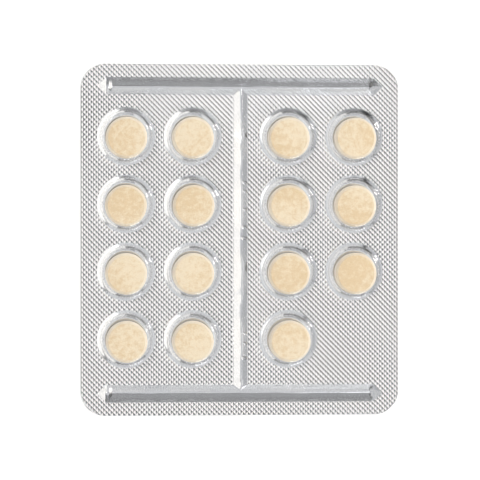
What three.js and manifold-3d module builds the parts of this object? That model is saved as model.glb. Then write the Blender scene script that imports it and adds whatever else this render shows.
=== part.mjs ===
// Blister pack of round tablets: one clear formed film with fifteen pockets and three roofed
// ribs, sealed on a flat aluminium lidding foil, with one loose tablet in each pocket.
// Millimetres. The card lies foil down: +X runs along the short side, +Y along the long side
// and +Z out through the pockets. The origin is the middle of the foil's underside.
import * as THREE from 'three';
import { mergeVertices } from 'three/addons/utils/BufferGeometryUtils.js';
import Module from 'manifold-3d';

const wasm = await Module();
wasm.setup();

// Card
const CARD_WIDTH = 63.2;
const CARD_LENGTH = 69.6;
const CARD_CORNER_RADIUS = 4.9;
const FOIL_THICKNESS = 0.03;
const FILM_THICKNESS = 0.25;

// Tablet, flat faced with a bevelled edge
const TABLET_RADIUS = 4.1;
const TABLET_THICKNESS = 3.3;
const TABLET_BEVEL_WIDTH = 0.5;
const TABLET_BEVEL_DEPTH = 0.42;

// Pocket, sized from the tablet that it holds. The film thins where it is drawn.
const POCKET_PLAY = 0.47;
const POCKET_HEADROOM = 0.35;
const POCKET_DRAFT = THREE.MathUtils.degToRad(9);
const POCKET_WALL = 0.18;
const POCKET_CROWN = 0.16;
const POCKET_CROWN_FILLET = 0.55;
const POCKET_FOOT_FILLET = 0.4;

// Pocket grid: two pairs of columns on each side of the middle rib
const PAIR_PITCH = 13.2;
const MIDDLE_PITCH = 19;
const ROW_PITCH = 13.4;
const GRID_RISE = 0.4;

// Each tablet has slid down its pocket until it meets the wall, at this turn in degrees from
// straight down. The last row has no pocket in its last column.
const TABLET_LEANS = [
  [5, -7, -9, -1],
  [-12, 12, -2, -7],
  [-4, 3, -6, 8],
  [10, -9, 17],
];
const TABLET_GAP = 0.03;

// Cross ribs near the top and bottom edges. Their crest leans towards the middle of the card.
const CROSS_RIB_LENGTH = 56.6;
const CROSS_RIB_WIDTH = 3.4;
const CROSS_RIB_HEIGHT = 1.8;
const CROSS_RIB_OFFSET = 30.5;
const CROSS_RIB_LEAN = 0.45;
const CROSS_RIB_POINT = 1.7;
const END_CREASE_WIDTH = 0.8;
const END_CREASE_DEPTH = 0.45;

// Middle rib between the two cross ribs, dented along its crest by handling
const MIDDLE_RIB_WIDTH = 2.8;
const MIDDLE_RIB_HEIGHT = 1.9;
const CREST_WIDTH = 0.5;
const CREST_ROUNDING = 0.12;
const DENT_SINK = 0.5;
// Where the middle rib's crest is pushed to, as [share of the way up from the middle, mm]
const CREST_DENTS = [
  [-0.94, 0.4], [-0.89, 0.05], [-0.81, 0], [-0.71, 0.35], [-0.59, 0.35], [-0.51, -0.05],
  [-0.44, -0.05], [-0.36, 0.5], [-0.28, 0.25], [-0.2, 0.5], [-0.15, 0.5], [-0.09, 0],
  [0.03, 0], [0.13, 0.3], [0.35, 0.3], [0.44, -0.05], [0.54, 0.3], [0.63, 0.05],
  [0.69, 0.6], [0.76, 0.15], [0.93, 0],
];

// Facets
const POCKET_SIDES = 24;
const TABLET_SIDES = 24;
const FILLET_STEPS = 2;
const CORNER_STEPS = 6;

// Heights and cutting allowances that follow from the sizes above
const FILM_BOTTOM = FOIL_THICKNESS;
const FILM_TOP = FILM_BOTTOM + FILM_THICKNESS;
const CUT_BELOW = 1;
const ROOT_DEPTH = FILM_THICKNESS / 2;
const TIP_SHARE = 0.1;

const FILM_FINISH = { color: 0xe9edf0, roughness: 0.12, metalness: 0, transparent: true, opacity: 0.3 };
const FOIL_FINISH = { color: 0xd2d3d6, roughness: 0.3, metalness: 1 };
const TABLET_FINISH = { color: 0xeedcbe, roughness: 0.8, metalness: 0 };

// Points of a fillet arc from one angle to another, in the plane of a profile.
function arcPoints(centreX, centreY, radius, from, to) {
  const points = [];
  for (let step = 0; step <= FILLET_STEPS; step += 1) {
    const angle = THREE.MathUtils.lerp(from, to, step / FILLET_STEPS);
    points.push(new THREE.Vector2(centreX + radius * Math.cos(angle), centreY + radius * Math.sin(angle)));
  }
  return points;
}

// Rectangle with round corners, centred on the origin.
function cardOutline() {
  const x = CARD_WIDTH / 2;
  const y = CARD_LENGTH / 2;
  const r = CARD_CORNER_RADIUS;
  const outline = new THREE.Shape();
  outline.absarc(x - r, y - r, r, 0, Math.PI / 2);
  outline.absarc(-x + r, y - r, r, Math.PI / 2, Math.PI);
  outline.absarc(-x + r, -y + r, r, Math.PI, Math.PI * 1.5);
  outline.absarc(x - r, -y + r, r, Math.PI * 1.5, Math.PI * 2);
  return outline;
}

// Flat sheet of the card's outline from one height to another.
function sheetGeometry(bottom, top) {
  const options = { depth: top - bottom, bevelEnabled: false, curveSegments: CORNER_STEPS };
  return new THREE.ExtrudeGeometry(cardOutline(), options).translate(0, 0, bottom);
}

// Radius of the pocket wall's inner face at a height. The tablet's upper edge sets it.
function pocketInnerRadius(z) {
  const tabletShoulder = FILM_BOTTOM + TABLET_THICKNESS - TABLET_BEVEL_DEPTH;
  return TABLET_RADIUS + POCKET_PLAY + (tabletShoulder - z) * Math.tan(POCKET_DRAFT);
}

// Profile of a pocket face from its crown down to its root: a flat crown, a fillet, a drafted
// wall and a foot fillet that runs out into a flat face of the film. outwards moves the wall out.
function pocketProfile({ crownZ, footZ, rootZ, outwards, crownFillet, footFillet }) {
  const wallRadius = (z) => pocketInnerRadius(z) + outwards / Math.cos(POCKET_DRAFT);
  const turn = Math.PI / 2 - POCKET_DRAFT;
  const runOut = Math.tan(turn / 2);
  const crownCentre = wallRadius(crownZ) - crownFillet * runOut;
  const footCentre = wallRadius(footZ) + footFillet * runOut;
  return [
    new THREE.Vector2(0, crownZ),
    ...arcPoints(crownCentre, crownZ - crownFillet, crownFillet, Math.PI / 2, POCKET_DRAFT),
    ...arcPoints(footCentre, footZ + footFillet, footFillet, Math.PI + POCKET_DRAFT, Math.PI * 1.5),
    new THREE.Vector2(footCentre, rootZ),
    new THREE.Vector2(0, rootZ),
  ];
}

// Body of revolution about Z from a profile of [radius, height] that runs from top to bottom.
function revolve(profile, sides) {
  const geometry = new THREE.LatheGeometry([...profile].reverse(), sides);
  return geometry.rotateX(Math.PI / 2).rotateZ(Math.PI / 2);
}

function pocketOutside() {
  return revolve(pocketProfile({
    crownZ: FILM_BOTTOM + TABLET_THICKNESS + POCKET_HEADROOM + POCKET_CROWN,
    footZ: FILM_TOP,
    rootZ: FILM_TOP - ROOT_DEPTH,
    outwards: POCKET_WALL,
    crownFillet: POCKET_CROWN_FILLET,
    footFillet: POCKET_FOOT_FILLET,
  }), POCKET_SIDES);
}

function pocketInside() {
  return revolve(pocketProfile({
    crownZ: FILM_BOTTOM + TABLET_THICKNESS + POCKET_HEADROOM,
    footZ: FILM_BOTTOM,
    rootZ: FILM_BOTTOM - CUT_BELOW,
    outwards: 0,
    crownFillet: POCKET_CROWN_FILLET - POCKET_CROWN,
    footFillet: POCKET_FOOT_FILLET + POCKET_WALL,
  }), POCKET_SIDES);
}

// Where the pockets and their tablets are: column and row centres from the card's middle.
function pocketPlaces() {
  const inner = MIDDLE_PITCH / 2;
  const columns = [-inner - PAIR_PITCH, -inner, inner, inner + PAIR_PITCH];
  const lastRow = TABLET_LEANS.length - 1;
  return TABLET_LEANS.flatMap((leans, row) => leans.map((degrees, column) => ({
    x: columns[column],
    y: GRID_RISE + (lastRow / 2 - row) * ROW_PITCH,
    lean: THREE.MathUtils.degToRad(degrees),
  })));
}

// Solid of a rib: a roof section carried through stations along X. Each station gives where it
// is, its width at the foot, its height and how far its crest lies off the middle. rootZ is the
// flat underside.
function ribGeometry(stations, footZ, rootZ) {
  const rings = stations.map(({ at, width, height, crest }) => {
    const half = width / 2;
    const shoulder = Math.min(CREST_WIDTH / 2, half / 2);
    const drop = CREST_ROUNDING * Math.min(1, height);
    return [
      [at, -half, rootZ],
      [at, half, rootZ],
      [at, half, footZ],
      [at, crest + shoulder, footZ + height - drop],
      [at, crest, footZ + height],
      [at, crest - shoulder, footZ + height - drop],
      [at, -half, footZ],
    ];
  });
  const count = rings[0].length;
  const index = [];
  for (let ring = 0; ring + 1 < rings.length; ring += 1) {
    for (let side = 0; side < count; side += 1) {
      const here = ring * count + side;
      const next = ring * count + ((side + 1) % count);
      index.push(here, next, next + count, here, next + count, here + count);
    }
  }
  const last = (rings.length - 1) * count;
  for (let side = 1; side + 1 < count; side += 1) {
    index.push(0, side + 1, side, last, last + side, last + side + 1);
  }
  const geometry = new THREE.BufferGeometry();
  geometry.setAttribute('position', new THREE.Float32BufferAttribute(rings.flat(2), 3));
  geometry.setIndex(index);
  return geometry;
}

// Stations of a cross rib: pointed ends, and a crease across the crest near the left one.
function crossRibStations() {
  const end = CROSS_RIB_LENGTH / 2;
  const shoulder = end - CROSS_RIB_POINT;
  const crease = -shoulder + END_CREASE_WIDTH / 2;
  const station = (at, widthShare, height, crest) => (
    { at, width: CROSS_RIB_WIDTH * widthShare, height, crest }
  );
  const full = CROSS_RIB_HEIGHT;
  const low = full - END_CREASE_DEPTH;
  return [
    station(-end, TIP_SHARE, 0, 0),
    station(-shoulder, 1, low + END_CREASE_DEPTH / 2, CROSS_RIB_LEAN),
    station(crease, 1, low, CROSS_RIB_LEAN),
    station(crease + END_CREASE_WIDTH, 1, full, CROSS_RIB_LEAN),
    station(shoulder - END_CREASE_WIDTH, 1, full, CROSS_RIB_LEAN),
    station(end, TIP_SHARE, 0, 0),
  ];
}

// Stations of the middle rib, which ends under the crests of the two cross ribs. A crest that
// is pushed aside also sits lower.
function middleRibStations() {
  const end = CROSS_RIB_OFFSET - CROSS_RIB_LEAN;
  const station = (at, crest) => (
    { at, width: MIDDLE_RIB_WIDTH, height: MIDDLE_RIB_HEIGHT - DENT_SINK * Math.abs(crest), crest }
  );
  const tip = (at) => ({ ...station(at, 0), height: CROSS_RIB_HEIGHT - CREST_ROUNDING });
  return [tip(-end), ...CREST_DENTS.map(([share, aside]) => station(share * end, -aside)), tip(end)];
}

// The three ribs, standing on footZ with their undersides at rootZ.
function ribGeometries(footZ, rootZ) {
  const top = ribGeometry(crossRibStations(), footZ, rootZ).scale(1, -1, 1);
  top.setIndex([...top.index.array].reverse());
  const bottom = ribGeometry(crossRibStations(), footZ, rootZ);
  const middle = ribGeometry(middleRibStations(), footZ, rootZ);
  return [
    top.translate(0, CROSS_RIB_OFFSET, 0),
    bottom.translate(0, -CROSS_RIB_OFFSET, 0),
    middle.rotateZ(Math.PI / 2),
  ];
}

function toSolid(geometry) {
  const bare = geometry.clone();
  bare.deleteAttribute('normal');
  bare.deleteAttribute('uv');
  const merged = mergeVertices(bare, 1e-5);
  return new wasm.Manifold(new wasm.Mesh({
    numProp: 3,
    vertProperties: new Float32Array(merged.attributes.position.array),
    triVerts: new Uint32Array(merged.index.array),
  }));
}

function toGeometry(solid) {
  const mesh = solid.getMesh();
  const geometry = new THREE.BufferGeometry();
  geometry.setAttribute('position', new THREE.BufferAttribute(mesh.vertProperties, 3));
  geometry.setIndex(new THREE.BufferAttribute(mesh.triVerts, 1));
  const flat = geometry.toNonIndexed();
  flat.computeVertexNormals();
  return flat;
}

// Film: the sheet with the pockets and ribs raised on it, less the hollows below them. A rib's
// hollow is the same rib one film thickness lower, so the wall thins on its slopes.
function filmGeometry() {
  const places = pocketPlaces();
  const outside = pocketOutside();
  const inside = pocketInside();
  const raised = places.map(({ x, y }) => toSolid(outside.clone().translate(x, y, 0)));
  const hollows = places.map(({ x, y }) => toSolid(inside.clone().translate(x, y, 0)));
  raised.push(...ribGeometries(FILM_TOP, FILM_TOP - ROOT_DEPTH).map(toSolid));
  hollows.push(...ribGeometries(FILM_BOTTOM, FILM_BOTTOM - CUT_BELOW).map(toSolid));
  let film = toSolid(sheetGeometry(FILM_BOTTOM, FILM_TOP));
  for (const solid of raised) {
    film = film.add(solid);
  }
  for (const solid of hollows) {
    film = film.subtract(solid);
  }
  return toGeometry(film);
}

function tabletGeometry() {
  const face = TABLET_RADIUS - TABLET_BEVEL_WIDTH;
  return revolve([
    new THREE.Vector2(0, TABLET_THICKNESS),
    new THREE.Vector2(face, TABLET_THICKNESS),
    new THREE.Vector2(TABLET_RADIUS, TABLET_THICKNESS - TABLET_BEVEL_DEPTH),
    new THREE.Vector2(TABLET_RADIUS, TABLET_BEVEL_DEPTH),
    new THREE.Vector2(face, 0),
    new THREE.Vector2(0, 0),
  ], TABLET_SIDES);
}

// How far a tablet can slide before its shoulder meets a flat of the pocket wall.
function tabletSlide() {
  const shoulder = FILM_BOTTOM + TABLET_THICKNESS - TABLET_BEVEL_DEPTH;
  const wall = pocketInnerRadius(shoulder) * Math.cos(Math.PI / POCKET_SIDES);
  return wall - TABLET_RADIUS - TABLET_GAP;
}

function addPiece(parent, name, geometry, finish) {
  const mesh = new THREE.Mesh(geometry, new THREE.MeshStandardMaterial(finish));
  mesh.name = name;
  parent.add(mesh);
  return mesh;
}

const blisterPack = new THREE.Group();
addPiece(blisterPack, 'lidding_foil', sheetGeometry(0, FOIL_THICKNESS), FOIL_FINISH);
addPiece(blisterPack, 'formed_film', filmGeometry(), FILM_FINISH);

const tablets = new THREE.Group();
tablets.position.z = FILM_BOTTOM;
blisterPack.add(tablets);
const slide = tabletSlide();
pocketPlaces().forEach(({ x, y, lean }, place) => {
  const name = `tablet_${String(place + 1).padStart(2, '0')}`;
  const tablet = addPiece(tablets, name, tabletGeometry(), TABLET_FINISH);
  tablet.position.set(x + slide * Math.sin(lean), y - slide * Math.cos(lean), 0);
});

export default blisterPack;
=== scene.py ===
"""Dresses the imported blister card: knurled foil, clear formed film, pressed tablets, studio.

Every size is in millimetres until a mesh is made, which turns it to metres.
"""

import logging
import math
from dataclasses import dataclass, replace
from enum import Enum

import bpy
import numpy as np
from mathutils import Matrix, Vector


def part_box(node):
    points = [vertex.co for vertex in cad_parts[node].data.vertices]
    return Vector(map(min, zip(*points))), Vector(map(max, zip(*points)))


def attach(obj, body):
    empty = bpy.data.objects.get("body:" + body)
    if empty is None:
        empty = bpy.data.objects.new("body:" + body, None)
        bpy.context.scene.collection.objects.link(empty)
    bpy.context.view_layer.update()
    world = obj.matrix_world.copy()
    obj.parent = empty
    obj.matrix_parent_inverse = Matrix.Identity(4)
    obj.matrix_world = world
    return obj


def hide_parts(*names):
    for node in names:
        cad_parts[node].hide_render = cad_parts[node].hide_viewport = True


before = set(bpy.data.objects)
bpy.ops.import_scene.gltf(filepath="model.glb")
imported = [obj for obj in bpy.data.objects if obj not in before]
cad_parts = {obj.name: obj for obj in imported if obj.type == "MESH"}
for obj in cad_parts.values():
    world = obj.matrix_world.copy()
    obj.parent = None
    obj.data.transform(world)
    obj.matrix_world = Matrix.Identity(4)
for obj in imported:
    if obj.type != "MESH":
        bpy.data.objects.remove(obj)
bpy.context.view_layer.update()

LOG = logging.getLogger("blister_card")
MM = 0.001
BODY = "root"
# How far a cutting tool reaches over and under the card, in millimetres
CUT_REACH = 1.0

Array = np.ndarray
MeshData = tuple[Array, list[tuple[int, ...]]]


def millimetres(node: str) -> Array:
    """Gives a CAD node's lowest and highest corners.

    Args:
        node: the CAD node's name.

    Returns:
        A 2 by 3 array of corners in millimetres.
    """
    low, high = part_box(node)
    return np.array([low, high]) / MM


def linear(hex_colour: str) -> tuple[float, float, float, float]:
    """Turns an sRGB hex colour to Blender's linear colour.

    Args:
        hex_colour: six hex digits after a hash sign.

    Returns:
        Red, green, blue and an alpha of 1.
    """
    parts = [int(hex_colour[i:i + 2], 16) / 255 for i in (1, 3, 5)]
    red, green, blue = (p / 12.92 if p <= 0.04045 else ((p + 0.055) / 1.055) ** 2.4 for p in parts)
    return red, green, blue, 1.0


class Cut(Enum):
    """How one solid changes another."""

    ADD = "UNION"
    REMOVE = "DIFFERENCE"
    KEEP = "INTERSECT"


# Surfaces worked out as whole arrays

def revolved(profile: Array, sides: int, centre: tuple[float, float],
             lift: Array | float = 0.0) -> MeshData:
    """Turns a profile round a vertical axis into a closed body.

    Ring k of side s lies at the profile's radius k along the direction 2 pi s / sides, at the
    profile's height k plus the lift there. The first and last profile points are on the axis
    and become single points.

    Args:
        profile: radius and height of each point, from top to bottom.
        sides: how many sides the body has.
        centre: x and y of the axis.
        lift: what is added to the heights, by ring and side.

    Returns:
        Vertices and faces.
    """
    angle = np.arange(sides) * 2 * np.pi / sides
    radius, height = profile[1:-1, 0], profile[1:-1, 1]
    rings = np.stack([
        centre[0] + radius[:, None] * np.cos(angle),
        centre[1] + radius[:, None] * np.sin(angle),
        height[:, None] + np.broadcast_to(lift, (len(radius), sides)),
    ], axis=-1).reshape(-1, 3)
    poles = np.array([[*centre, profile[0, 1]], [*centre, profile[-1, 1]]])
    side = np.arange(sides)
    after = (side + 1) % sides
    ring = np.arange(len(radius) - 1)[:, None] * sides
    quads = np.stack([ring + side, ring + sides + side, ring + sides + after, ring + after], axis=-1)
    top, bottom = len(rings), len(rings) + 1
    lowest = (len(radius) - 1) * sides
    caps = [(top, int(a), int(b)) for a, b in zip(side, after)]
    caps += [(bottom, int(lowest + b), int(lowest + a)) for a, b in zip(side, after)]
    return np.vstack([rings, poles]), [*map(tuple, quads.reshape(-1, 4).tolist()), *caps]


def lofted(rings: Array) -> MeshData:
    """Joins closed rings, one after another, into a body with flat ends.

    Args:
        rings: stations by points by 3, each ring turning anticlockwise seen from the last one.

    Returns:
        Vertices and faces.
    """
    stations, points, _ = rings.shape
    point = np.arange(points)
    after = (point + 1) % points
    ring = np.arange(stations - 1)[:, None] * points
    quads = np.stack([ring + point, ring + after, ring + points + after, ring + points + point], axis=-1)
    last = (stations - 1) * points
    ends = [tuple(int(i) for i in point[::-1]), tuple(int(last + i) for i in point)]
    return rings.reshape(-1, 3), [*map(tuple, quads.reshape(-1, 4).tolist()), *ends]


def joined(parts: list[MeshData]) -> MeshData:
    """Puts separate bodies into one list of vertices and faces.

    Args:
        parts: the bodies, which don't touch.

    Returns:
        Vertices and faces of all of them.
    """
    vertices, faces, start = [], [], 0
    for points, polygons in parts:
        vertices.append(points)
        faces += [tuple(start + i for i in polygon) for polygon in polygons]
        start += len(points)
    return np.vstack(vertices), faces


def solid(name: str, data: MeshData) -> bpy.types.Object:
    """Makes a mesh object from millimetres.

    Args:
        name: the object's name.
        data: vertices in millimetres, and faces.

    Returns:
        The object, at the origin.
    """
    vertices, faces = data
    mesh = bpy.data.meshes.new(name)
    mesh.from_pydata((np.asarray(vertices) * MM).tolist(), [], faces)
    mesh.validate()
    made = bpy.data.objects.new(name, mesh)
    bpy.context.scene.collection.objects.link(made)
    return made


def bake_modifiers(piece: bpy.types.Object) -> None:
    """Puts the result of a piece's modifiers into its own mesh.

    Args:
        piece: the object, which ends with no modifiers.
    """
    graph = bpy.context.evaluated_depsgraph_get()
    result = bpy.data.meshes.new_from_object(piece.evaluated_get(graph))
    old = piece.data
    piece.modifiers.clear()
    piece.data = result
    result.name = piece.name
    bpy.data.meshes.remove(old)


def carve(piece: bpy.types.Object, tool: MeshData, how: Cut) -> None:
    """Adds a solid to a piece, cuts it out or keeps only what is in it.

    Args:
        piece: the object that changes.
        tool: the other solid.
        how: which of the three.
    """
    other = solid("tool", tool)
    step = piece.modifiers.new("carve", "BOOLEAN")
    step.operation = how.value
    step.solver = "MANIFOLD"
    step.object = other
    bake_modifiers(piece)
    mesh = other.data
    bpy.data.objects.remove(other)
    bpy.data.meshes.remove(mesh)


def smooth_by_angle(piece: bpy.types.Object, degrees: float) -> None:
    """Shades a piece smooth but for its sharp edges, with large faces leading at shared points.

    Args:
        piece: the object.
        degrees: an edge that turns more than this stays sharp.
    """
    mesh = piece.data
    mesh.shade_smooth()
    mesh.set_sharp_from_angle(angle=math.radians(degrees))
    weigh = piece.modifiers.new("weigh", "WEIGHTED_NORMAL")
    weigh.keep_sharp = True
    weigh.weight = 100


# The ribs and the card's layout, shared by the foil and the film

@dataclass(frozen=True)
class RibLine:
    """Stations along a rib, with what its section measures at each."""

    at: Array
    width: Array
    share: Array
    crest: Array
    upright: bool
    shift: float
    bridged: Array | float = 0.0
    points: int = 19
    # A section's points gather at the crest by this power, and a bridged flank drops by the other
    gather: float = 1.5
    drop: int = 6
    rounding: float = 0.12

    def roof(self, height: float, foot: float) -> Array:
        """The rib's upper face.

        Across a section, s runs from 1 at one foot over 0 at the crest to -1 at the other, and
        the height falls as the square root of s squared plus the rounding squared, so the crest
        is a hyperbola and the flanks are straight. Where the rib is bridged, its other flank
        rises to the plane of the first one and drops by a high power of s at its foot.

        Args:
            height: of the crest over the foot, where the share is 1.
            foot: height of the face that the rib stands on.

        Returns:
            Sections by points by 3.
        """
        s = np.linspace(1, -1, self.points)
        s = np.sign(s) * np.abs(s) ** self.gather
        e = self.rounding
        fall = (np.sqrt(s * s + e * e) - e) / (math.sqrt(1 + e * e) - e)
        half, crest = self.width[:, None] / 2, self.crest[:, None]
        across = crest + np.where(s < 0, s * (half + crest), s * (half - crest))
        up = height * self.share[:, None] * (1 - fall)
        plane = height * self.share[:, None] * (half - across) / (half - crest)
        bridged = np.where(s < 0, np.reshape(self.bridged, (-1, 1)), 0)
        up = foot + up + bridged * (plane * (1 - s ** self.drop) - up)
        along = np.broadcast_to(self.at[:, None], across.shape)
        across = across + self.shift
        return np.stack([-across, along, up] if self.upright else [along, across, up], axis=-1)

    def body(self, height: float, foot: float, root: float) -> MeshData:
        """A solid under the rib's upper face.

        Args:
            height: of the crest over the foot.
            foot: height of the face that the rib stands on.
            root: height of the flat underside.

        Returns:
            Vertices and faces.
        """
        roof = self.roof(height, foot)
        base = roof[:, [-1, 0]].copy()
        base[..., 2] = root
        return lofted(np.concatenate([base, roof], axis=1))

    def sheet(self, height: float, top: float, thickness: float) -> MeshData:
        """A bowed sheet of even thickness.

        Args:
            height: of the bow's crest over its feet.
            top: height of the upper face at the feet.
            thickness: of the sheet.

        Returns:
            Vertices and faces.
        """
        roof = self.roof(height, top)
        under = roof[:, ::-1] - np.array([0, 0, thickness])
        return lofted(np.concatenate([under, roof], axis=1))


@dataclass(frozen=True)
class CardLayout:
    """Where things lie on the card, seen from its pocket side."""

    corner_radius: float = 4.9
    corner_steps: int = 24
    pair_pitch: float = 13.2
    middle_pitch: float = 19.0
    row_pitch: float = 13.4
    grid_rise: float = 0.4
    rows: int = 4
    cross_rib_length: float = 56.6
    cross_rib_width: float = 3.4
    cross_rib_offset: float = 30.5
    cross_rib_point: float = 1.7
    cross_lean: float = 0.45
    # A cross rib's pointed ends: the share of its width at the tip, and points along a stretch
    tip_share: float = 0.1
    tip_stations: int = 7
    shoulder_stations: int = 5
    # The crease across the left end of a cross rib: how wide, how deep and how much its lip rises
    crease_width: float = 0.8
    crease_share: float = 0.25
    crease_lip: float = 0.1
    crease_stations: int = 9
    middle_rib_width: float = 2.8
    # The share of its height that the middle rib loses where its crest is pushed by 1 mm
    dent_share: float = 0.27
    # The middle rib drops to this share of its height where it joins a cross rib
    join_share: float = 0.88
    join_length: float = 2.0
    # Narrow creases across the middle rib's right flank: places up the card, half their width,
    # how steeply they rise and how many points lie across one
    crossings: tuple[float, ...] = (11.4, 9.6, 6.0, 2.5, 0.3, -18.6, -20.6, -23.5)
    crossing_half: float = 0.32
    crossing_rise: float = 1.8
    crossing_stations: int = 9
    # How much further the foil's crest is pushed than the film's
    crease_push: float = 1.25
    station_step: float = 0.3
    # The middle rib's crest: share of the way up from the middle, and how far it is pushed
    dents: tuple[tuple[float, float], ...] = (
        (-1.0, 0.0), (-0.94, 0.4), (-0.89, 0.05), (-0.81, 0.0), (-0.71, 0.35), (-0.59, 0.35),
        (-0.51, -0.05), (-0.44, -0.05), (-0.36, 0.5), (-0.28, 0.25), (-0.2, 0.5), (-0.15, 0.5),
        (-0.09, 0.0), (0.03, 0.0), (0.13, 0.3), (0.35, 0.3), (0.44, -0.05), (0.54, 0.3),
        (0.63, 0.05), (0.69, 0.6), (0.76, 0.15), (0.93, 0.0), (1.0, 0.0),
    )

    @property
    def size(self) -> Array:
        """Width and length of the card, from the frame."""
        low, high = millimetres("lidding_foil")
        return (high - low)[:2]

    def pockets(self) -> list[tuple[float, float]]:
        """Finds the centres of the pockets, row by row from the top left.

        Returns:
            x and y of each centre. The last corner has none.
        """
        inner = self.middle_pitch / 2
        columns = (-inner - self.pair_pitch, -inner, inner, inner + self.pair_pitch)
        heights = [self.grid_rise + ((self.rows - 1) / 2 - row) * self.row_pitch
                   for row in range(self.rows)]
        return [(x, y) for y in heights for x in columns][:-1]

    def outline(self) -> Array:
        """Points of the card's outline, anticlockwise: four quarter circles joined by sides.

        Returns:
            An array of x and y.
        """
        turn = np.linspace(0, np.pi / 2, self.corner_steps + 1)
        half = self.size / 2 - self.corner_radius
        corners = [(1, 1, 0), (-1, 1, 1), (-1, -1, 2), (1, -1, 3)]
        return np.vstack([
            np.stack([
                sx * half[0] + self.corner_radius * np.cos(turn + quarter * np.pi / 2),
                sy * half[1] + self.corner_radius * np.sin(turn + quarter * np.pi / 2),
            ], axis=-1)
            for sx, sy, quarter in corners
        ])

    def cross_line(self, side: int) -> RibLine:
        """Stations of one of the two ribs along the short edges, pointed at both ends.

        Args:
            side: 1 for the top rib, -1 for the bottom one.

        Returns:
            The rib's line.
        """
        end = self.cross_rib_length / 2
        shoulder = end - self.cross_rib_point
        crease = -shoulder + self.crease_width / 2
        bent = self.crease_width
        at = np.unique(np.concatenate([
            np.linspace(-end, -shoulder, self.tip_stations),
            np.linspace(-shoulder, -shoulder + 2 * bent, self.crease_stations),
            np.arange(-shoulder + 2 * bent, shoulder - bent, 2 * self.station_step),
            np.linspace(shoulder - bent, shoulder, self.shoulder_stations),
            np.linspace(shoulder, end, self.tip_stations),
        ]))
        low, tip = 1 - self.crease_share, self.tip_share
        width = self.cross_rib_width * np.interp(at, [-end, -shoulder, shoulder, end], [tip, 1, 1, tip])
        share = np.interp(at, [-end, -shoulder, crease, crease + bent, shoulder - bent, end],
                          [0, low + self.crease_lip, low, 1, 1, 0])
        crest = -side * self.cross_lean * np.interp(at, [-end, -shoulder, shoulder, end], [0, 1, 1, 0])
        return RibLine(at, width, share, crest, False, side * self.cross_rib_offset)

    def middle_line(self, creased: bool = False) -> RibLine:
        """Stations of the rib up the middle of the card, whose crest is dented from the right.

        Args:
            creased: whether narrow creases cross its right flank, as in the foil below it.

        Returns:
            The rib's line.
        """
        end = self.cross_rib_offset - self.cross_lean
        at = np.linspace(-end, end, round(2 * end / self.station_step) + 1)
        if creased:
            near = np.linspace(-self.crossing_half, self.crossing_half, self.crossing_stations)
            at = np.unique(np.concatenate([at, (np.array(self.crossings)[:, None] + near).ravel()]))
        shares, pushes = np.array(self.dents).T
        crest = -np.interp(at / end, shares, pushes)
        share = 1 - self.dent_share * np.abs(crest)
        crest *= self.crease_push if creased else 1.0
        share = np.minimum(share, np.interp(end - np.abs(at), [0, self.join_length], [self.join_share, 1]))
        away = np.abs(at[:, None] - np.array(self.crossings)).min(axis=1)
        bridged = np.clip(self.crossing_rise * (1 - away / self.crossing_half), 0, 1) if creased else 0.0
        return RibLine(at, np.full(len(at), self.middle_rib_width), share, crest, True, 0.0, bridged)

    def slab(self, bottom: float, top: float) -> MeshData:
        """A flat solid of the card's outline.

        Args:
            bottom: height of its underside.
            top: height of its upper face.

        Returns:
            Vertices and faces.
        """
        outline = self.outline()
        levels = [np.column_stack([outline, np.full(len(outline), z)]) for z in (bottom, top)]
        return lofted(np.stack(levels))


# Materials

def add_node(tree: bpy.types.NodeTree, kind: str, settings: dict | None = None,
             **links: object) -> bpy.types.Node:
    """Adds a node with its settings and inputs.

    Args:
        tree: where it goes.
        kind: the node's type.
        settings: attributes of the node by name.
        **links: inputs by name, with underscores for spaces, each a socket or a value. The
            letter i, an underscore and a number stand for the input at that place.

    Returns:
        The node.
    """
    node = tree.nodes.new(kind)
    for name, value in (settings or {}).items():
        setattr(node, name, value)
    for name, value in links.items():
        place = int(name[2:]) if name.startswith("i_") else name.replace("_", " ")
        socket = node.inputs[place]
        if isinstance(value, bpy.types.NodeSocket):
            tree.links.new(value, socket)
        else:
            socket.default_value = value
    return node


@dataclass(frozen=True)
class Finish:
    """A material made of nodes."""

    name: str

    def material(self) -> bpy.types.Material:
        """Makes the material with its nodes.

        Returns:
            The material.
        """
        made = bpy.data.materials.new(self.name)
        made.use_nodes = True
        made.node_tree.nodes.clear()
        output = add_node(made.node_tree, "ShaderNodeOutputMaterial")
        made.node_tree.links.new(self.surface(made.node_tree), output.inputs["Surface"])
        return made

    def surface(self, tree: bpy.types.NodeTree) -> bpy.types.NodeSocket:
        """Builds the shader nodes.

        Args:
            tree: the material's node tree.

        Returns:
            The shader socket of the whole surface.
        """
        raise NotImplementedError


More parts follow.
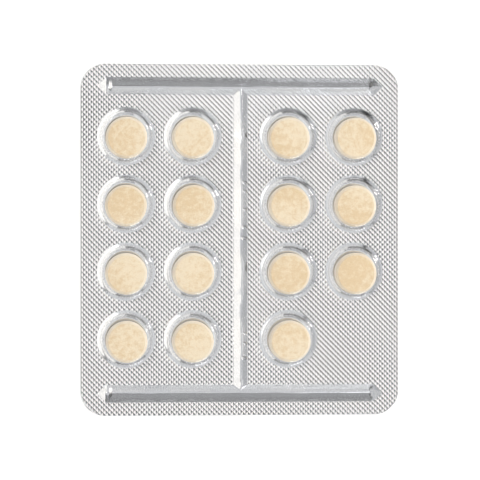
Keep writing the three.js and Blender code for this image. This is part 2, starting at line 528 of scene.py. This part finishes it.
@dataclass(frozen=True)
class HardAluminiumFoil(Finish):
    """Hard rolled aluminium foil under heat seal lacquer: a soft mirror with faint rolling lines.

    The slow waves make wide reflections swim a little, the lines give bands a brushed edge, and
    the dimples keep the smallest glints from being mirror sharp.
    """

    name: str = "hard aluminium foil, rolled"
    metal: str = "#e1e1e2"
    roughness: float = 0.08
    roughness_spread: float = 0.03
    dimple_mm: float = 0.35
    dimple_depth_mm: float = 0.003
    rolling_mm: float = 0.5
    rolling_depth_mm: float = 0.005
    rolling_stretch: float = 0.035
    wave_mm: float = 6.0
    wave_depth_mm: float = 0.05

    def surface(self, tree: bpy.types.NodeTree) -> bpy.types.NodeSocket:
        """Builds the nodes: noise in roughness, and fine dimples on slow waves as bump.

        Args:
            tree: the material's node tree.

        Returns:
            The shader socket.
        """
        place = add_node(tree, "ShaderNodeTexCoord").outputs["Object"]
        grain = add_node(tree, "ShaderNodeTexNoise", Vector=place, Scale=1 / (self.dimple_mm * MM),
                         Detail=3.0)
        wave = add_node(tree, "ShaderNodeTexNoise", Vector=place, Scale=1 / (self.wave_mm * MM),
                        Detail=2.0)
        along = add_node(tree, "ShaderNodeMapping", Vector=place, Scale=(self.rolling_stretch, 1.0, 1.0))
        rolled = add_node(tree, "ShaderNodeTexNoise", Vector=along.outputs["Vector"],
                          Scale=1 / (self.rolling_mm * MM), Detail=2.0)
        rough = add_node(tree, "ShaderNodeMapRange", Value=grain.outputs["Fac"],
                         To_Min=self.roughness - self.roughness_spread,
                         To_Max=self.roughness + self.roughness_spread)
        slow = add_node(tree, "ShaderNodeBump", Height=wave.outputs["Fac"],
                        Distance=self.wave_depth_mm * MM, Strength=1.0)
        lines = add_node(tree, "ShaderNodeBump", Height=rolled.outputs["Fac"],
                         Distance=self.rolling_depth_mm * MM, Strength=1.0, Normal=slow.outputs["Normal"])
        fine = add_node(tree, "ShaderNodeBump", Height=grain.outputs["Fac"],
                        Distance=self.dimple_depth_mm * MM, Strength=1.0, Normal=lines.outputs["Normal"])
        shader = add_node(tree, "ShaderNodeBsdfPrincipled", Base_Color=linear(self.metal), Metallic=1.0,
                          Roughness=rough.outputs["Result"], Normal=fine.outputs["Normal"])
        return shader.outputs["BSDF"]


@dataclass(frozen=True)
class ClearFormedFilm(Finish):
    """Clear PVC film, drawn over a mould: a thin wall that shows what is behind it and shines.

    It mirrors more the flatter it is looked along, so pockets and ribs show by their bright
    edges, and the ripple from drawing makes those edges waver.
    """

    name: str = "clear PVC film, thermoformed"
    passed: str = "#fcfcfc"
    mirrored: str = "#ffffff"
    ior: float = 1.53
    roughness: float = 0.04
    draw_mm: float = 1.2
    draw_depth_mm: float = 0.011

    def surface(self, tree: bpy.types.NodeTree) -> bpy.types.NodeSocket:
        """Builds the nodes: a thin wall passes light straight on and mirrors its Fresnel share.

        Args:
            tree: the material's node tree.

        Returns:
            The shader socket.
        """
        place = add_node(tree, "ShaderNodeTexCoord").outputs["Object"]
        draw = add_node(tree, "ShaderNodeTexNoise", Vector=place, Scale=1 / (self.draw_mm * MM),
                        Detail=2.0)
        ripple = add_node(tree, "ShaderNodeBump", Height=draw.outputs["Fac"],
                          Distance=self.draw_depth_mm * MM, Strength=1.0)
        behind = add_node(tree, "ShaderNodeNewGeometry").outputs["Backfacing"]
        index = add_node(tree, "ShaderNodeMapRange", Value=behind, To_Min=self.ior, To_Max=1 / self.ior)
        share = add_node(tree, "ShaderNodeFresnel", IOR=index.outputs["Result"],
                         Normal=ripple.outputs["Normal"])
        clear = add_node(tree, "ShaderNodeBsdfTransparent", Color=linear(self.passed))
        shine = add_node(tree, "ShaderNodeBsdfAnisotropic", Color=linear(self.mirrored),
                         Roughness=self.roughness, Normal=ripple.outputs["Normal"])
        return add_node(tree, "ShaderNodeMixShader", i_0=share.outputs["Fac"], i_1=clear.outputs["BSDF"],
                        i_2=shine.outputs["BSDF"]).outputs["Shader"]


@dataclass(frozen=True)
class PressedTablet(Finish):
    """Pressed powder, cream and matt: soft blotches, fine grain and a pale bevel that is partly dust and
    partly painted light.

    Blotches and grain give the flat faces a mottled look, the slow drift makes some tablets
    warmer than others, and a pale colour on the bevel and sides draws a ring round each face:
    partly dust, partly painted light that stands in for the light on the rims and sides.
    """

    name: str = "pressed tablet powder"
    pale: str = "#efdec0"
    warm: str = "#e3c99f"
    # Pale colour of the bevel and sides: partly dust, partly painted light on the rims
    dust_and_painted_rim_light: str = "#f8efe0"
    roughness: float = 0.75
    blotch_mm: float = 1.1
    blotch_range: tuple[float, float] = (0.35, 0.65)
    grain_mm: float = 0.3
    grain_depth_mm: float = 0.03
    grain_range: tuple[float, float] = (0.3, 0.7)
    speck: float = 0.35
    batch_mm: float = 14.0
    batch_drift: float = 0.5
    # Upward share of the normal where the pale bevel colour (partly dust, partly painted light on the rims
    # and sides) begins, on the face, and where it is full
    dust_and_painted_rim_light_range: tuple[float, float] = (0.99, 0.5)

    def surface(self, tree: bpy.types.NodeTree) -> bpy.types.NodeSocket:
        """Builds the nodes: blotches and grain in colour, a pale bevel that is partly dust and partly
        painted light, grain as bump.

        Args:
            tree: the material's node tree.

        Returns:
            The shader socket.
        """
        place = add_node(tree, "ShaderNodeTexCoord").outputs["Object"]
        blotch = add_node(tree, "ShaderNodeTexNoise", Vector=place, Scale=1 / (self.blotch_mm * MM),
                          Detail=4.0, Roughness=0.6)
        grain = add_node(tree, "ShaderNodeTexNoise", Vector=place, Scale=1 / (self.grain_mm * MM),
                         Detail=3.0)
        low, high = self.grain_range
        speck = add_node(tree, "ShaderNodeMapRange", Value=grain.outputs["Fac"], From_Min=low,
                         From_Max=high, To_Min=-self.speck, To_Max=self.speck)
        batch = add_node(tree, "ShaderNodeTexNoise", Vector=place, Scale=1 / (self.batch_mm * MM),
                         Detail=0.0)
        drift = add_node(tree, "ShaderNodeMapRange", Value=batch.outputs["Fac"], From_Min=low,
                         From_Max=high, To_Min=-self.batch_drift, To_Max=self.batch_drift)
        low, high = self.blotch_range
        amount = add_node(tree, "ShaderNodeMapRange", Value=blotch.outputs["Fac"], From_Min=low,
                          From_Max=high)
        amount = add_node(tree, "ShaderNodeMath", {"operation": "ADD"},
                          i_0=amount.outputs["Result"], i_1=drift.outputs["Result"])
        amount = add_node(tree, "ShaderNodeMath", {"operation": "ADD", "use_clamp": True},
                          i_0=amount.outputs["Value"], i_1=speck.outputs["Result"])
        colour = add_node(tree, "ShaderNodeMix", {"data_type": "RGBA"}, i_0=amount.outputs["Value"],
                          i_6=linear(self.pale), i_7=linear(self.warm))
        normal = add_node(tree, "ShaderNodeNewGeometry").outputs["Normal"]
        upward = add_node(tree, "ShaderNodeSeparateXYZ", Vector=normal).outputs["Z"]
        # The less a face points up, the paler it turns: partly dust, partly painted light that brightens
        # the rims and the shaded sides
        begins, full = self.dust_and_painted_rim_light_range
        dust_and_painted_rim_light = add_node(tree, "ShaderNodeMapRange", Value=upward, From_Min=begins, From_Max=full,
                        To_Min=0.0, To_Max=1.0)
        colour = add_node(tree, "ShaderNodeMix", {"data_type": "RGBA"}, i_0=dust_and_painted_rim_light.outputs["Result"],
                          i_6=colour.outputs[2], i_7=linear(self.dust_and_painted_rim_light))
        bump = add_node(tree, "ShaderNodeBump", Height=grain.outputs["Fac"],
                        Distance=self.grain_depth_mm * MM, Strength=1.0)
        shader = add_node(tree, "ShaderNodeBsdfPrincipled", Base_Color=colour.outputs[2],
                          Roughness=self.roughness, Normal=bump.outputs["Normal"])
        return shader.outputs["BSDF"]


@dataclass(frozen=True)
class PaleFloor(Finish):
    """Matt white board under the card: plain, so that only the soft shadow shows on it."""

    name: str = "matt white board"
    colour: str = "#fafafa"
    roughness: float = 0.9

    def surface(self, tree: bpy.types.NodeTree) -> bpy.types.NodeSocket:
        """Builds the one shader node.

        Args:
            tree: the material's node tree.

        Returns:
            The shader socket.
        """
        return add_node(tree, "ShaderNodeBsdfPrincipled", Base_Color=linear(self.colour),
                        Roughness=self.roughness).outputs["BSDF"]


# The foil

@dataclass(frozen=True)
class KnurledFoil:
    """The lidding foil with its seal pattern of blunt diamonds, smooth below pockets and ribs."""

    layout: CardLayout
    node: str = "lidding_foil"
    # The diamonds: their pitch, height and the flat share of their width
    pitch: float = 0.7
    relief: float = 0.085
    blunt_share: float = 0.24
    # The ring below a pocket's wall: radius, and height of the foil over where the tablet stands
    ring: tuple[tuple[float, float], ...] = (
        (3.68, 0.0), (3.82, 0.035), (4.02, 0.095), (4.12, 0.112), (4.25, 0.115), (4.45, 0.109),
        (5.1, 0.07), (5.22, 0.058), (5.68, 0.006), (5.75, 0.0),
    )
    ring_below: tuple[tuple[float, float], ...] = (
        (3.72, 0.0), (4.15, 0.095), (4.5, 0.09), (5.1, 0.055), (5.75, 0.0),
    )
    smooth_radius: float = 5.75
    lap: float = 0.004
    # How much higher the ring is on the side that it was drawn towards, and that side's direction
    skew: float = 0.35
    skew_towards: float = 100.0
    sides: int = 72
    # How far the foil bows up under a rib
    bow: float = 0.24
    bow_points: int = 13
    sharp_degrees: float = 14.0

    @property
    def thickness(self) -> float:
        """Thickness of the foil, from the frame."""
        return float(np.diff(millimetres(self.node)[:, 2])[0])

    def diamonds(self) -> MeshData:
        """A sheet of blunt pyramids, larger than the card, with plain ones pressed into its underside.

        A cell of the grid, turned by 45 degrees, has its four corners in the valleys and four
        inner points that bound the flat top of its diamond. On the underside one point in the
        cell's middle, as high over the valleys as the flat top, takes their place.

        Returns:
            Vertices and faces of a closed sheet.
        """
        reach = float(np.hypot(*self.layout.size)) / 2 + self.pitch
        cells = 2 * math.ceil(reach / self.pitch)
        line = (np.arange(cells + 1) - cells / 2) * self.pitch
        inset = (1 - self.blunt_share) / 2 * self.pitch
        outset = self.pitch - inset
        valley = np.stack(np.meshgrid(line, line, indexing="ij"), axis=-1)
        shift = np.array([[inset, inset], [outset, inset], [outset, outset], [inset, outset]])
        tops = valley[:-1, :-1, None, :] + shift
        middles = valley[:-1, :-1] + self.pitch / 2
        upper = self.turned([valley, tops], self.thickness)
        lower = self.turned([valley, middles], 0.0)
        i, j = np.meshgrid(np.arange(cells), np.arange(cells), indexing="ij")
        row = len(line)
        corner = np.stack([i * row + j, (i + 1) * row + j, (i + 1) * row + j + 1, i * row + j + 1], axis=-1)
        inner = row * row + (i * cells + j)[..., None] * 4 + np.arange(4)
        ahead = np.roll(np.arange(4), -1)
        slopes = np.stack([corner, corner[..., ahead], inner[..., ahead], inner], axis=-1)
        faces = np.vstack([inner.reshape(-1, 4), slopes.reshape(-1, 4)])
        count = len(upper)
        point = np.broadcast_to((count + row * row + i * cells + j)[..., None], corner.shape)
        points = np.stack([point, corner[..., ahead] + count, corner + count], axis=-1)
        rim = np.concatenate([
            np.arange(row) * row,
            (row - 1) * row + np.arange(1, row),
            np.arange(row - 2, -1, -1) * row + row - 1,
            np.arange(row - 2, 0, -1),
        ])
        ahead_rim = np.roll(rim, -1)
        walls = np.stack([rim, rim + count, ahead_rim + count, ahead_rim], axis=-1)
        quads = np.vstack([faces, walls])
        polygons = [*map(tuple, quads.tolist()), *map(tuple, points.reshape(-1, 3).tolist())]
        return np.vstack([upper, lower]), polygons

    def turned(self, groups: list[Array], level: float) -> Array:
        """Turns the grid by 45 degrees: x is the difference and y the sum of its two, by root 2.

        Args:
            groups: the valleys' points, then those that stand over them by the relief.
            level: height of the valleys.

        Returns:
            Points by 3.
        """
        valley, raised = (group.reshape(-1, 2) for group in groups)
        flat = np.vstack([valley, raised])
        lift = np.repeat([0, self.relief], [len(valley), len(raised)])
        across = (flat[:, 0] - flat[:, 1]) / math.sqrt(2)
        along = (flat[:, 0] + flat[:, 1]) / math.sqrt(2)
        return np.column_stack([across, along, level + lift])

    def disc(self, place: tuple[float, float]) -> MeshData:
        """The smooth foil below a pocket: flat, with a low ring drawn up inside the pocket's foot.

        The ring's height is its profile times one plus the skew times the cosine of the angle
        from the side that the foil was drawn towards.

        Args:
            place: x and y of the pocket's axis.

        Returns:
            Vertices and faces.
        """
        above, below = np.array(self.ring), np.array(self.ring_below)[::-1]
        above[-1, 0] += self.lap
        below[0, 0] += self.lap
        around = np.arange(self.sides) * 2 * np.pi / self.sides - math.radians(self.skew_towards)
        drawn = np.concatenate([above[:, 1], below[:, 1]])[:, None] * self.skew * np.cos(around)
        upper = above + np.array([0, self.thickness])
        return revolved(np.vstack([[0, self.thickness], upper, below, [0, 0]]), self.sides, place, drawn)

    def build(self) -> bpy.types.Object:
        """Makes the foil, cut to the card's outline, and dresses it.

        Returns:
            The piece.
        """
        plan = self.layout
        lines = [replace(line, points=self.bow_points)
                 for line in (plan.cross_line(1), plan.cross_line(-1), plan.middle_line(creased=True))]
        piece = solid("knurled_foil", self.diamonds())
        carve(piece, plan.slab(-CUT_REACH, CUT_REACH), Cut.KEEP)
        hole = np.array([[0, CUT_REACH], [self.smooth_radius, CUT_REACH],
                         [self.smooth_radius, -CUT_REACH], [0, -CUT_REACH]])
        carve(piece, joined([revolved(hole, self.sides, place) for place in plan.pockets()]), Cut.REMOVE)
        for line in lines:
            carve(piece, line.body(0.0, CUT_REACH, -CUT_REACH), Cut.REMOVE)
        carve(piece, joined([self.disc(place) for place in plan.pockets()]), Cut.ADD)
        for line in lines:
            carve(piece, line.sheet(self.bow, self.thickness, self.thickness), Cut.ADD)
        smooth_by_angle(piece, self.sharp_degrees)
        piece.data.materials.clear()
        piece.data.materials.append(HardAluminiumFoil().material())
        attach(piece, BODY)
        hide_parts(self.node)
        return piece


# The film

@dataclass(frozen=True)
class PocketShape:
    """A round pocket drawn in the film around a tablet."""

    crown_height: float
    flange_top: float
    flange_bottom: float
    wall: float = 0.18
    crown_wall: float = 0.16
    draft_degrees: float = 9.0
    inner_radius_at_crown: float = 4.443
    crown_fillet: float = 0.55
    foot_fillet: float = 0.4
    fillet_steps: int = 8
    sides: int = 96

    def profile(self, crown: float, foot: float, root: float, outwards: float,
                crown_fillet: float, foot_fillet: float) -> Array:
        """Radius and height along one face: crown, fillet, drafted wall, fillet into the flange.

        A wall point's radius grows with its depth below the crown by the draft's tangent.

        Args:
            crown: height of the flat crown.
            foot: height of the flange face that the foot runs out into.
            root: how low the body reaches.
            outwards: how far the wall lies outside the pocket's inner face.
            crown_fillet: radius at the crown.
            foot_fillet: radius at the foot.

        Returns:
            Points from the top of the axis to its bottom.
        """
        draft = math.radians(self.draft_degrees)
        inner_crown = self.crown_height - self.crown_wall
        run_out = math.tan((math.pi / 2 - draft) / 2)

        def wall_radius(z: float) -> float:
            """Radius of the wall at a height."""
            return (self.inner_radius_at_crown + (inner_crown - z) * math.tan(draft)
                    + outwards / math.cos(draft))

        share = np.linspace(0, 1, self.fillet_steps + 1)
        over = math.pi / 2 + share * (draft - math.pi / 2)
        under = math.pi + draft + share * (math.pi / 2 - draft)
        crown_centre = wall_radius(crown) - crown_fillet * run_out
        foot_centre = wall_radius(foot) + foot_fillet * run_out
        upper = np.column_stack([crown_centre + crown_fillet * np.cos(over),
                                 crown - crown_fillet + crown_fillet * np.sin(over)])
        lower = np.column_stack([foot_centre + foot_fillet * np.cos(under),
                                 foot + foot_fillet + foot_fillet * np.sin(under)])
        ends = [[0.0, crown]], [[foot_centre, root], [0.0, root]]
        return np.vstack([ends[0], upper, lower, ends[1]])

    def outside(self) -> Array:
        """Profile of the outer face, rooted inside the flange."""
        root = (self.flange_top + self.flange_bottom) / 2
        return self.profile(self.crown_height, self.flange_top, root, self.wall,
                            self.crown_fillet, self.foot_fillet)

    def hollow(self) -> Array:
        """Profile of the inner face, which opens below the flange."""
        root = self.flange_bottom - CUT_REACH
        return self.profile(self.crown_height - self.crown_wall, self.flange_bottom, root, 0.0,
                            self.crown_fillet - self.crown_wall, self.foot_fillet + self.wall)


@dataclass(frozen=True)
class FormedFilm:
    """The clear film: flange, fifteen pockets and three ribs, as one thin shell."""

    layout: CardLayout
    node: str = "formed_film"
    # The flange's underside clears the foil's diamonds
    flange_top: float = 0.28
    flange_bottom: float = 0.125
    rib_wall: float = 0.2
    cross_height: float = 1.8
    middle_height: float = 1.9
    sharp_degrees: float = 35.0

    def build(self) -> bpy.types.Object:
        """Makes the film by raising solids on the flange and hollowing them, and dresses it.

        Returns:
            The piece.
        """
        crown = float(millimetres(self.node)[1, 2])
        pocket = PocketShape(crown, self.flange_top, self.flange_bottom)
        piece = solid("clear_film", self.layout.slab(self.flange_bottom, self.flange_top))
        middle = (self.flange_top + self.flange_bottom) / 2
        under = self.flange_top - self.rib_wall
        below = self.flange_bottom - CUT_REACH
        places = self.layout.pockets()
        ribs = [(self.layout.cross_line(1), self.cross_height),
                (self.layout.cross_line(-1), self.cross_height),
                (self.layout.middle_line(), self.middle_height)]
        raised = [joined([revolved(pocket.outside(), pocket.sides, place) for place in places])]
        raised += [line.body(height, self.flange_top, middle) for line, height in ribs]
        hollows = [joined([revolved(pocket.hollow(), pocket.sides, place) for place in places])]
        hollows += [line.body(height, under, below) for line, height in ribs]
        for tool in raised:
            carve(piece, tool, Cut.ADD)
        for tool in hollows:
            carve(piece, tool, Cut.REMOVE)
        smooth_by_angle(piece, self.sharp_degrees)
        piece.data.materials.clear()
        piece.data.materials.append(ClearFormedFilm().material())
        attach(piece, BODY)
        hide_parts(self.node)
        return piece


# The tablets

@dataclass(frozen=True)
class Tablets:
    """Fifteen flat faced tablets with bevelled edges, each where its CAD solid lies."""

    bevel_width: float = 0.5
    bevel_depth: float = 0.42
    edge_radius: float = 0.09
    edge_steps: int = 4
    sides: int = 96
    sharp_degrees: float = 40.0

    def profile(self, radius: float, bottom: float, top: float) -> Array:
        """Radius and height along the edge, with each corner of the bevel rounded.

        A corner's curve is the parabola that touches both sides at the edge radius from it.

        Args:
            radius: the tablet's radius.
            bottom: height of its lower face.
            top: height of its upper face.

        Returns:
            Points from the top of the axis to its bottom.
        """
        face = radius - self.bevel_width
        corners = np.array([
            [0, top], [face, top], [radius, top - self.bevel_depth],
            [radius, bottom + self.bevel_depth], [face, bottom], [0, bottom],
        ], float)
        points = [corners[:1]]
        for before, here, after in zip(corners, corners[1:], corners[2:]):
            towards = (before - here) / np.linalg.norm(before - here)
            onwards = (after - here) / np.linalg.norm(after - here)
            t = np.linspace(0, 1, self.edge_steps + 1)[:, None]
            start, end = here + towards * self.edge_radius, here + onwards * self.edge_radius
            points.append((1 - t) ** 2 * start + 2 * t * (1 - t) * here + t ** 2 * end)
        return np.vstack([*points, corners[-1:]])

    def build(self) -> list[bpy.types.Object]:
        """Makes and dresses all the tablets.

        Returns:
            The pieces.
        """
        finish = PressedTablet().material()
        made = []
        for node in sorted(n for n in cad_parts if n.startswith("tablet_")):
            low, high = millimetres(node)
            centre = (low + high) / 2
            radius = (high - low)[1] / 2
            body = revolved(self.profile(radius, low[2], high[2]), self.sides, tuple(centre[:2]))
            piece = solid(node.replace("tablet", "pressed_tablet"), body)
            smooth_by_angle(piece, self.sharp_degrees)
            piece.data.materials.append(finish)
            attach(piece, BODY)
            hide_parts(node)
            made.append(piece)
        return made


# Studio

# Colours of the light panels
WARM = "#fffdf9"
COOL = "#fafcff"


@dataclass(frozen=True)
class Panel:
    """A soft light panel that faces the card."""

    name: str
    azimuth: float
    zenith: float
    distance: float
    width: float
    height: float
    radiance: float
    colour: str

    def build(self) -> None:
        """Makes the panel. Its power follows from its size and the radiance that it shows."""
        light = bpy.data.lights.new(self.name, "AREA")
        light.shape = "RECTANGLE"
        light.color = linear(self.colour)[:3]
        light.size = self.width * MM
        light.size_y = self.height * MM
        light.energy = self.radiance * math.pi * light.size * light.size_y
        panel = bpy.data.objects.new(self.name, light)
        bpy.context.scene.collection.objects.link(panel)
        azimuth, zenith = math.radians(self.azimuth), math.radians(self.zenith)
        towards = Vector((math.sin(zenith) * math.cos(azimuth), math.sin(zenith) * math.sin(azimuth),
                          math.cos(zenith)))
        panel.location = towards * self.distance * MM
        panel.rotation_euler = towards.to_track_quat("Z", "Y").to_euler()


def low_panel(side: str, azimuth: float) -> Panel:
    """Gives one of the four weak, even panels near the horizon, which the card's edges mirror."""
    return Panel(f"low_{side}_panel", azimuth, 79, 700, 1400, 260, 0.5, COOL)


@dataclass(frozen=True)
class Studio:
    """White floor, soft panels and the camera straight above the card."""

    distance: float = 450.0
    pixels_per_mm: float = 5.035
    frame_pixels: float = 480.0
    lean_degrees: float = 4.4
    centre: tuple[float, float] = (-0.08, -0.04)
    sensor_mm: float = 36.0
    view_metres: float = 100.0
    floor_size: float = 3000.0
    floor_gap: float = 0.05
    world_radiance: float = 0.04
    clear_bounces: int = 32
    pixel_filter: float = 1.0
    # Azimuth and zenith in degrees, then distance, width and height, radiance and colour
    panels: tuple[Panel, ...] = (
        Panel("overhead_panel", 0, 4, 470, 306, 200, 0.92, COOL),
        Panel("near_right_panel", -4, 27, 600, 360, 220, 0.76, COOL),
        Panel("left_panel", 172, 32.5, 600, 1300, 560, 1.58, WARM),
        Panel("right_panel", -48, 45, 600, 640, 300, 0.43, COOL),
        Panel("back_fill", 80, 25, 600, 210, 150, 0.4, COOL),
        Panel("front_fill", 280, 25, 600, 210, 150, 0.4, COOL),
        low_panel("right", 0),
        low_panel("front", -90),
        low_panel("back", 90),
        low_panel("left", 180),
        Panel("key_light", 25, 56, 700, 120, 120, 74.0, WARM),
        Panel("front_key_light", 292, 60, 700, 300, 260, 5.5, COOL),
    )

    def camera(self) -> None:
        """Sets the camera: it looks down, leaning a little to the left side of the card."""
        lens = bpy.data.cameras.new("camera")
        lens.sensor_width = self.sensor_mm
        lens.lens = lens.sensor_width * self.distance * self.pixels_per_mm / self.frame_pixels
        lens.clip_end = self.view_metres
        camera = bpy.data.objects.new("camera", lens)
        bpy.context.scene.collection.objects.link(camera)
        lean = math.radians(self.lean_degrees)
        turn = Matrix.Rotation(-lean, 4, "Y")
        target = Matrix.Translation(Vector((*self.centre, 0)) * MM)
        camera.matrix_world = target @ turn @ Matrix.Translation((0, 0, self.distance * MM))
        bpy.context.scene.camera = camera

    def build(self) -> None:
        """Makes the floor, the lights and the camera, and sets how light becomes colour."""
        scene = bpy.context.scene
        scene.view_settings.view_transform = "Standard"
        scene.cycles.transparent_max_bounces = self.clear_bounces
        scene.cycles.filter_width = self.pixel_filter
        half, level = self.floor_size / 2, -self.floor_gap
        corners = np.array([[-half, -half, level], [half, -half, level],
                            [half, half, level], [-half, half, level]])
        floor = solid("floor", (corners, [(0, 1, 2, 3)]))
        floor.data.materials.append(PaleFloor().material())
        world = bpy.data.worlds.new("studio")
        world.use_nodes = True
        background = world.node_tree.nodes["Background"]
        background.inputs["Strength"].default_value = self.world_radiance
        background.inputs["Color"].default_value = (1, 1, 1, 1)
        scene.world = world
        for panel in self.panels:
            panel.build()
        self.camera()


def main() -> None:
    """Builds the card and the studio."""
    logging.basicConfig(level=logging.INFO, format="%(message)s")
    layout = CardLayout()
    Studio().build()
    foil = KnurledFoil(layout).build()
    film = FormedFilm(layout).build()
    tablets = Tablets().build()
    for piece in (foil, film, *tablets):
        LOG.info("%s: %d faces", piece.name, len(piece.data.polygons))


if __name__ == "__main__":
    main()
